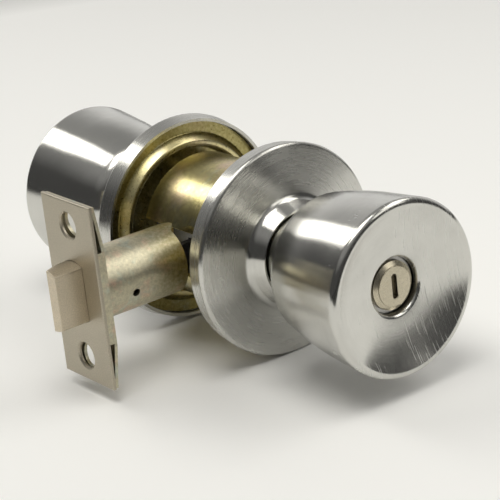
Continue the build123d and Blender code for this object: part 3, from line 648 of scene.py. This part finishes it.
class LOCK_OT_finishes(Operator):
    """Make the finishes and give each node of the lock its own"""
    bl_idname = "lock.finishes"
    bl_label = "Finishes"

    def execute(self, context):
        finishes = context.scene.lock_finishes
        for build in (brush_group, scratch_group, tint_group, grain_group):
            build()
        satin_steel("satin_steel", finishes, roughness=0.17, neck=0.0, scuffing=0.4, lean=6.0, wear=0.5)
        satin_steel("rose_steel", finishes, roughness=0.24, neck=0.10, scuffing=0.85, lean=0.0, wear=0.0)
        # Painted shade on the plate's border and on its floor inside the raised ring, which lie deeper in the rose
        zinc("yellow_zinc", finishes, strength=0.75, size=80.0, roughness=0.28, paleness=0.25, shade=0.8,
             axis="Y", start=SEAT[INSIDE] + 1 * MM, end=SEAT[INSIDE] + 2.3 * MM)
        # Painted shade on the chassis, darker towards the bottom below its lit band
        zinc("chassis_zinc", finishes, strength=0.75, size=80.0, roughness=0.25, paleness=0.10, shade=0.6,
             axis="Z", start=15 * MM, end=6 * MM)
        # Painted shade on the tube towards the end that goes into the chassis beside the rose, partly a real stain
        zinc("pale_zinc", finishes, strength=0.95, size=170.0, roughness=0.40, paleness=0.65, shade=0.75,
             axis="X", start=-41 * MM, end=-28 * MM)
        for name, tone, roughness, grain_size, grain_depth in (
                ("matt_nickel", finishes.nickel, 0.42, 2600.0, 0.2),
                ("bolt_nickel", finishes.bolt, 0.40, 2600.0, 0.2),
                ("plug_nickel", finishes.plug, 0.30, 3200.0, 0.1),
                ("plain_steel", finishes.plain, 0.34, 1800.0, 0.2),
                ("cast_zinc", finishes.cast, 0.5, 1200.0, 0.5),
                ("spring_steel", finishes.plain, 0.28, 1800.0, 0.15)):
            matt(name, tone, finishes.grime, roughness, grain_size, grain_depth)
        for name, node in frame["nodes"].items():
            node.material_slots[0].material = finish("pale_zinc" if name == "back_plate" else SLOT_OF_NODE[name])
        return {"FINISHED"}


class LOCK_OT_knobs(Operator):
    """Spin both knob shells, the inside one with the hole of its catch"""
    bl_idname = "lock.knobs"
    bl_label = "Knob shells"

    def execute(self, context):
        sizes = context.scene.lock_knob
        corners = ("shank", "back", "shoulder", "waist", "rim", "dish", "lip", "lip_end")
        outline = rounded_outline(sizes, corners, SHEET_STEP, 20)
        for body, side in (("outside_knob", OUTSIDE), ("inside_knob", INSIDE)):
            points, faces = lathe(outline, SEAT[side], side, around(KNOB_SIDES))
            if side == INSIDE:
                below = (points[:, 2] < 0) & (np.hypot(points[:, 0], points[:, 2]) < sizes.back[0] + 0.1 * MM)
                hole = (0.0, SEAT[side] + sizes.catch_depth)
                points, faces = punched(points, faces, hole, sizes.catch_radius, [0, 1], below)
            add_spun(body + "_spun", points, faces, outline, body, body + "_shell", "satin_steel", sizes.wall)
        return {"FINISHED"}


class LOCK_OT_roses(Operator):
    """Draw both roses"""
    bl_idname = "lock.roses"
    bl_label = "Roses"

    def execute(self, context):
        sizes = context.scene.lock_rose
        outline = rounded_outline(sizes, ("rim", "edge", "foot", "collar"), SHEET_STEP)
        for node, side in (("outside_rose", OUTSIDE), ("inside_rose", INSIDE)):
            points, faces = lathe(outline, SEAT[side], side, around(ROSE_SIDES))
            add_spun(node + "_drawn", points, faces, outline, "lock_body", node, "rose_steel", sizes.wall)
        return {"FINISHED"}


class LOCK_OT_plate(Operator):
    """Press the mounting plate with its raised ring and screw holes"""
    bl_idname = "lock.plate"
    bl_label = "Mounting plate"

    def execute(self, context):
        sizes = context.scene.lock_plate
        corners = ("bore", "inner_foot", "inner_top", "outer_top", "outer_foot", "border")
        outline = rounded_outline(sizes, corners, PLATE_STEP, 8)
        points, faces = lathe(outline, SEAT[INSIDE], INSIDE, around(ROSE_SIDES))
        for height in (sizes.screw_pitch, -sizes.screw_pitch):
            points, faces = punched(points, faces, (0.0, height), sizes.screw_radius, [0, 2])
        plate = add_piece("mounting_plate_pressed", points, faces, "lock_body", "mounting_plate",
                          "yellow_zinc", SPUN_SHARP)
        thicken(plate, sizes.wall)
        return {"FINISHED"}


class LOCK_OT_chassis(Operator):
    """Draw the chassis cylinder with its floor and the cut-out for the latch"""
    bl_idname = "lock.chassis"
    bl_label = "Chassis"

    def execute(self, context):
        sizes = context.scene.lock_chassis
        low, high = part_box("chassis_housing")
        half = math.asin(sizes.notch_half / sizes.radius)
        angles = np.concatenate([np.linspace(math.pi - half, math.pi + half, 25)[:-1],
                                 np.linspace(math.pi + half, 3 * math.pi - half, 160)[:-1]])
        floor = np.column_stack([np.linspace(sizes.bore, sizes.radius, 10), np.full(10, low.y)])
        wall_places = np.concatenate([np.linspace(low.y, -sizes.notch_end, 16)[1:],
                                      np.linspace(-sizes.notch_end, high.y, 32)[1:]])
        wall = np.column_stack([np.full(len(wall_places), sizes.radius), wall_places])
        points, faces = lathe(np.concatenate([floor, wall]), 0.0, INSIDE, angles)
        across, place, up = points[faces].mean(axis=1).T
        notch = (across < 0) & (np.abs(up) < sizes.notch_half) & (place > -sizes.notch_end)
        housing = add_piece("chassis_drawn", points, faces[~notch], "lock_body", "chassis_housing",
                            "chassis_zinc", 50.0)
        thicken(housing, sizes.wall, 0.2 * MM)
        return {"FINISHED"}


class LOCK_OT_tube(Operator):
    """Roll the latch tube with its flange, cross holes and the tongue at its open end"""
    bl_idname = "lock.tube"
    bl_label = "Latch tube"

    def execute(self, context):
        sizes = context.scene.lock_latch
        low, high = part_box("latch_tube")
        points, faces = self.rolled(low.x, high.x, sizes)
        spin = np.array(Matrix.Rotation(sizes.hole_drop, 2))
        points[:, 1:] = points[:, 1:] @ spin
        points, faces = punched(points, faces, (-sizes.hole_place, 0.0), sizes.hole_radius, [0, 2])
        reach = np.sqrt(np.maximum(sizes.tube_radius ** 2 - points[:, 2] ** 2, 0.0))
        points[:, 1] = reach * np.sign(points[:, 1])
        points[:, 1:] = points[:, 1:] @ spin.T
        tube = add_piece("latch_tube_rolled", points, faces, "lock_body", "latch_tube", "pale_zinc", 60.0)
        thicken(tube, sizes.tube_wall, 0.12 * MM)
        self.add_flange(low, high, sizes)
        return {"FINISHED"}

    def rolled(self, start, end, sizes):
        """Skin of the tube: rows along the latch axis and columns round it from the top. The last rows spread out
        over the tongue, whose length falls in a straight line from its tip's half width to its foot's."""
        radius = sizes.tube_radius
        foot, tip = math.asin(sizes.tongue_foot / radius), math.asin(sizes.tongue_tip / radius)
        stops = (-foot, -tip, tip, foot, 2 * math.pi - foot)
        angles = np.concatenate([np.linspace(first, last, count, endpoint=False)
                                 for first, last, count in zip(stops, stops[1:], (10, 6, 10, 210))])
        across, up = radius * np.sin(angles), radius * np.cos(angles)
        tongue = np.interp(np.abs(across), [sizes.tongue_tip, sizes.tongue_foot], [sizes.tongue_length, 0.0])
        tongue = np.where(up > 0, tongue, 0.0)
        mouth = end - sizes.tongue_length
        straight = np.linspace(start, mouth - MM, 110)[:, None] + 0 * angles
        spread = mouth - MM + np.linspace(0.0, 1.0, 9)[1:, None] * (MM + tongue)
        along = np.concatenate([straight, spread])
        points = np.stack([along, across + 0 * along, up + 0 * along], axis=-1).reshape(-1, 3)
        return points, grid_faces(len(along), len(angles))[:, ::-1]

    def add_flange(self, low, high, sizes):
        """Flange as a closed grid: the bore's circle, carried out to the rectangle, back over the thickness and
        in to the circle again."""
        angles = around(PLUG_SIDES, 0.5)
        circle = (sizes.tube_radius - 0.5 * sizes.tube_wall) * unit_circle(angles)
        reach = np.minimum(high.y / np.maximum(np.abs(np.cos(angles)), 1e-6),
                           high.z / np.maximum(np.abs(np.sin(angles)), 1e-6))
        edge = reach[:, None] * unit_circle(angles)
        loops = [(low.x, circle), (low.x, edge), (low.x + sizes.flange, edge), (low.x + sizes.flange, circle)]
        points = np.concatenate([np.column_stack([np.full(len(loop), x), loop]) for x, loop in loops])
        faces = grid_faces(4, len(angles), wrap_rows=True)
        add_piece("latch_flange", points, faces, "lock_body", "latch_tube", "pale_zinc", 30.0)


class LOCK_OT_bolt(Operator):
    """Form the latch bolt with its two flats and the bevelled tip"""
    bl_idname = "lock.bolt"
    bl_label = "Latch bolt"

    def execute(self, context):
        sizes = context.scene.lock_latch
        low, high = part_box("latch_bolt")
        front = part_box("faceplate")[0].x
        land = low.y + sizes.bolt_land
        flat = 13
        across = np.concatenate([np.linspace(low.y, land, flat), np.linspace(land, high.y, 15)[1:]])
        half = np.sqrt(sizes.bolt_radius ** 2 - across ** 2)
        slope = np.clip((across - land) / (high.y - land), 0.0, 1.0)
        tip = low.x + slope * (front - low.x)
        rear = np.full(len(across), high.x)
        edges = [(tip, half), (rear, half), (tip, -half), (rear, -half)]
        points = np.concatenate([np.column_stack([along, across, up]) for along, up in edges])
        top_tip, top_rear, low_tip, low_rear = np.arange(len(points)).reshape(4, -1)
        top = np.stack([top_tip[:-1], top_rear[:-1], top_rear[1:], top_tip[1:]], axis=-1)
        bottom = np.stack([low_tip[1:], low_rear[1:], low_rear[:-1], low_tip[:-1]], axis=-1)
        sides = np.array([[low_tip[0], low_rear[0], top_rear[0], top_tip[0]],
                          [top_tip[-1], top_rear[-1], low_rear[-1], low_tip[-1]]])
        caps = [np.concatenate([top_tip[:flat], low_tip[:flat][::-1]]),
                np.concatenate([top_tip[flat - 1:], low_tip[flat - 1:][::-1]]),
                np.concatenate([low_rear, top_rear[::-1]])]
        bolt = add_piece("latch_bolt_formed", points, np.concatenate([top, bottom, sides]), "latch_bolt",
                         "latch_bolt", "bolt_nickel", 30.0, caps)
        soften(bolt, sizes.bolt_edge, 3, 25.0)
        return {"FINISHED"}


class LOCK_OT_plug(Operator):
    """Turn the release plug and mill its coin slot"""
    bl_idname = "lock.plug"
    bl_label = "Release plug"

    def execute(self, context):
        sizes = context.scene.lock_plug
        low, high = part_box("release_plug")
        radius, face = high.x, low.y
        angles = around(PLUG_SIDES, 0.5)
        circle = unit_circle(angles)

        def slot(extra):
            """Stadium outline: the circle of the slot's ends, with its halves drawn apart by the straight run."""
            straight = 0.5 * (sizes.slot_length - sizes.slot_width)
            apart = np.column_stack([0 * angles, straight * np.sign(np.sin(angles))])
            return (0.5 * sizes.slot_width + extra) * circle + apart

        quarter = np.linspace(0.0, np.pi / 2, 5)[1:]
        rim = radius - sizes.bevel_width
        loops = [(face + sizes.slot_depth, slot(0.0)), (face + sizes.slot_round, slot(0.0))]
        loops += [(face + sizes.slot_round * (1 - np.sin(turn)), slot(sizes.slot_round * (1 - np.cos(turn))))
                  for turn in quarter]
        loops += [(face, (1 - share) * slot(sizes.slot_round) + share * (rim - sizes.edge) * circle)
                  for share in np.linspace(0.0, 1.0, 12)[1:]]
        loops += [(face + sizes.edge * (1 - np.cos(turn)), (rim - sizes.edge * (1 - np.sin(turn))) * circle)
                  for turn in quarter]
        loops += [(face + sizes.step, rim * circle), (face + sizes.step + sizes.bevel_drop, radius * circle),
                  (face + sizes.plug_back, radius * circle), (face + sizes.plug_back, sizes.stem_radius * circle),
                  (high.y, sizes.stem_radius * circle)]
        points = np.concatenate([np.insert(loop, 1, place, axis=1) for place, loop in loops])
        plug = add_piece("release_plug_turned", points, grid_faces(len(loops), PLUG_SIDES), "release_plug",
                         "release_plug", "plug_nickel", 30.0,
                         [cap[::-1] for cap in end_rings(len(loops), PLUG_SIDES)])
        # Painted shade: the floor ring and the mouth ring of the coin slot are painted dark
        slot_shading = np.zeros((len(loops), PLUG_SIDES), dtype=np.float32)
        slot_shading[:2] = [[sizes.slot_floor_shade], [sizes.slot_mouth_shade]]
        plug.data.attributes.new("grime", "FLOAT", "POINT").data.foreach_set("value", slot_shading.ravel())
        return {"FINISHED"}


class LOCK_OT_button(Operator):
    """Turn the push button with its rounded face"""
    bl_idname = "lock.button"
    bl_label = "Push button"

    def execute(self, context):
        sizes = context.scene.lock_plug
        low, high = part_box("push_button")
        radius = high.x
        turn = np.linspace(0.0, np.pi / 2, 10)
        centre = np.array([radius - sizes.button_round, high.y - sizes.button_round])
        curve = centre + sizes.button_round * unit_circle(turn)
        straight = np.array([[radius, low.y], [radius, centre[1] - 0.2 * MM]])
        inner = np.column_stack([np.linspace(curve[-1, 0], 0.3 * MM, 6)[1:], np.full(5, high.y)])
        outline = np.concatenate([straight, curve, inner])
        points, faces = lathe(outline, 0.0, INSIDE, around(BUTTON_SIDES))
        add_piece("push_button_turned", points, faces, "push_button", "push_button",
                  "plain_steel", 40.0, end_rings(len(outline), BUTTON_SIDES))
        return {"FINISHED"}


class LOCK_OT_springs(Operator):
    """Wind the springs"""
    bl_idname = "lock.springs"
    bl_label = "Springs"

    def execute(self, context):
        sizes = context.scene.lock_springs
        low, high = np.array(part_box("latch_spring"))
        self.wind("latch_spring", "lock_body", [(low, high)], 0, sizes.latch_wire, sizes.latch_turns)
        low, high = np.array(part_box("return_springs"))
        across = np.array([0.0, 0.0, high[1] - low[1]])
        pair = [(low, np.append(high[:2], low[2]) + across), (np.append(low[:2], high[2]) - across, high)]
        self.wind("return_springs", "lock_body", pair, 0, sizes.return_wire, sizes.return_turns)
        low, high = np.array(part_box("button_spring"))
        self.wind("button_spring", "inside_knob", [(low, high)], 1, sizes.button_wire, sizes.button_turns)
        self.leaf(sizes)
        return {"FINISHED"}

    def wind(self, node, body, boxes, way, wire, turns):
        """One coil in each box, all of the same size, joined in one piece."""
        coils = [coil(low, high, way, wire, turns) for low, high in boxes]
        starts = np.arange(len(coils)) * len(coils[0][0])
        points = np.concatenate([winding[0] for winding in coils])
        faces = np.concatenate([winding[1] + start for start, winding in zip(starts, coils)])
        caps = [cap + start for start, winding in zip(starts, coils) for cap in winding[2]]
        piece = add_piece(node + "_wound", points, faces, body, node, "spring_steel", 40.0, caps)
        self.shorten(piece, node, way)

    def leaf(self, sizes):
        """Leaf from the bar guide to the catch, which bends it: a flat section with broken corners, repeated
        along the leaf."""
        low, high = np.array(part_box("catch_spring"))
        half = 0.5 * (high - low)[[0, 2]]
        turn = np.array([[1, 1], [-1, 1], [-1, -1], [1, -1]])
        cut = sizes.leaf_round * np.array([[[0, 1], [1, 0]], [[1, 0], [0, 1]]] * 2)
        section = (turn[:, None] * (half - cut)).reshape(-1, 2)
        along = np.linspace(low[1], high[1], 30)[:, None]
        points = np.stack([0 * along + section[:, 0], along + 0 * section[:, 0],
                           0.5 * (low[2] + high[2]) + section[:, 1] + 0 * along], axis=-1).reshape(-1, 3)
        rows, columns = len(along), len(section)
        piece = add_piece("catch_spring_leaf", points, grid_faces(rows, columns)[:, ::-1], None, "catch_spring",
                          "spring_steel", 40.0, end_rings(rows, columns))
        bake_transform(piece)

    def shorten(self, piece, node, way):
        """Give the spring a mesh of its own when a joint of the frame lists it among the nodes that it deforms."""
        for joint in frame["joints"]:
            for spring in joint.get("deforming_nodes", ()):
                if spring["node"] == node:
                    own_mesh(piece)


class LOCK_OT_stage(Operator):
    """Set up the pale floor, the soft light and the camera"""
    bl_idname = "lock.stage"
    bl_label = "Stage"

    def execute(self, context):
        scene = context.scene
        stage = scene.lock_stage
        scene.view_settings.view_transform = "Standard"
        self.add_floor(scene, stage, scene.lock_finishes)
        self.light_room(scene, stage)
        self.add_soft_boxes(scene, stage)
        self.add_camera(scene, stage)
        return {"FINISHED"}

    def add_floor(self, scene, stage, finishes):
        """Flat grid under the roses, pale in a painted pool of light near the lock and dark far from it and past
        its front edge.
        """
        line = np.linspace(-stage.floor_size, stage.floor_size, 9)
        across, along = np.meshgrid(line, line, indexing="ij")
        points = np.stack([across, along, 0 * across + CAD_BOX[0][2]], axis=-1).reshape(-1, 3)
        mesh = bpy.data.meshes.new("floor")
        mesh.from_pydata(points.tolist(), [], grid_faces(9, 9, wrap_columns=False).tolist())
        floor = bpy.data.objects.new("floor", mesh)
        scene.collection.objects.link(floor)
        tree, shader, place = new_surface("pale_floor", 0.8, metallic=0.0)
        feed(shader, "Specular IOR Level", 0.2)
        away = add_node(tree, "VectorMath", place, operation="LENGTH").outputs["Value"]
        far = remap(away, stage.floor_lit, 1.35 * stage.floor_lit)
        front = remap(separate(place)["Y"], -stage.floor_front, -1.04 * stage.floor_front)
        share = arithmetic("MAXIMUM", far, front)
        feed(shader, "Base Color", blend(share, finishes.floor, finishes.floor_far))
        mesh.materials.append(bpy.data.materials["pale_floor"])

    def light_room(self, scene, stage):
        """Room light: at eye level dim with a bright backdrop, and even overhead."""
        scene.world = bpy.data.worlds.new("studio")
        scene.world.use_nodes = True
        tree = scene.world.node_tree
        way = add_node(tree, "TexCoord").outputs["Generated"]
        facing = add_node(tree, "VectorMath", way, stage.back_way, operation="DOT_PRODUCT").outputs["Value"]
        low = remap(facing, 0.35, 0.8, stage.sky_low, stage.sky_back)
        level = remap(separate(way)["Z"], 0.38, 0.66, low, stage.sky_high)
        feed_named(tree.nodes["Background"], Strength=level, Color=(1.0, 0.99, 0.97, 1.0))

    def add_soft_boxes(self, scene, stage):
        """Soft boxes that face the lock; the power of each is four times its area times its brightness."""
        for name, azimuth, elevation, distance, size, roll, brightness in (
                ("Key box", -163.0, 43.5, 0.95, (0.92, 0.26), 57.0, stage.key),
                ("Fill box", 62.0, 50.0, 0.95, (0.56, 0.36), 0.0, stage.fill),
                ("Low box", 32.0, 32.0, 0.95, (0.44, 0.34), 0.0, stage.low),
                ("Top box", -45.0, 74.0, 1.0, (0.55, 0.55), 0.0, stage.top)):
            away = direction(math.radians(azimuth), math.radians(elevation))
            lamp = bpy.data.lights.new(name, "AREA")
            lamp.shape = "RECTANGLE"
            lamp.size, lamp.size_y = size
            lamp.energy = 4.0 * size[0] * size[1] * brightness
            lamp.color = LAMP_COLOUR
            box = bpy.data.objects.new(name, lamp)
            aim = away.to_track_quat("Z", "Y").to_matrix() @ Matrix.Rotation(math.radians(roll), 3, "Z")
            box.matrix_world = Matrix.Translation(LIT_PLACE + away * distance) @ aim.to_4x4()
            scene.collection.objects.link(box)

    def add_camera(self, scene, stage):
        """Camera from its place, azimuth, elevation and roll, with its axes as columns of its matrix."""
        right = Vector((math.cos(stage.azimuth), math.sin(stage.azimuth), 0.0))
        back = direction(stage.azimuth, stage.elevation)
        level = Matrix((right, back.cross(right), back)).transposed()
        lens = bpy.data.cameras.new("camera")
        lens.lens = stage.lens
        camera = bpy.data.objects.new("camera", lens)
        camera.matrix_world = (Matrix.Translation(Vector(stage.camera_place))
                               @ (level @ Matrix.Rotation(stage.roll, 3, "Z")).to_4x4())
        scene.collection.objects.link(camera)
        scene.camera = camera


class LOCK_PT_panel(Panel):
    """Lists the steps that build the lock"""
    bl_idname = "LOCK_PT_panel"
    bl_label = "Knob Lock"
    bl_space_type = "VIEW_3D"
    bl_region_type = "UI"
    bl_category = "Knob Lock"

    def draw(self, context):
        for step in STEPS:
            self.layout.operator(step.bl_idname)


def direction(azimuth, elevation):
    """Unit vector at an azimuth from -Y towards +X and an elevation above the floor."""
    flat = math.cos(elevation)
    return Vector((math.sin(azimuth) * flat, -math.cos(azimuth) * flat, math.sin(elevation)))


STEPS = (LOCK_OT_finishes, LOCK_OT_knobs, LOCK_OT_roses, LOCK_OT_plate, LOCK_OT_chassis, LOCK_OT_tube,
         LOCK_OT_bolt, LOCK_OT_plug, LOCK_OT_button, LOCK_OT_springs, LOCK_OT_stage)
SETTINGS = {"lock_knob": KnobSizes, "lock_rose": RoseSizes, "lock_plate": PlateSizes,
            "lock_chassis": ChassisSizes, "lock_latch": LatchSizes, "lock_plug": PlugSizes,
            "lock_springs": SpringSizes, "lock_finishes": Finishes, "lock_stage": StageSettings}


def register():
    for name, group in SETTINGS.items():
        bpy.utils.register_class(group)
        setattr(bpy.types.Scene, name, PointerProperty(type=group))
    for item in (*STEPS, LOCK_PT_panel):
        bpy.utils.register_class(item)


def unregister():
    for item in (LOCK_PT_panel, *reversed(STEPS)):
        bpy.utils.unregister_class(item)
    for name, group in SETTINGS.items():
        delattr(bpy.types.Scene, name)
        bpy.utils.unregister_class(group)


def main():
    register()
    for step in STEPS:
        getattr(bpy.ops.lock, step.bl_idname.removeprefix("lock."))()


if __name__ == "__main__":
    main()
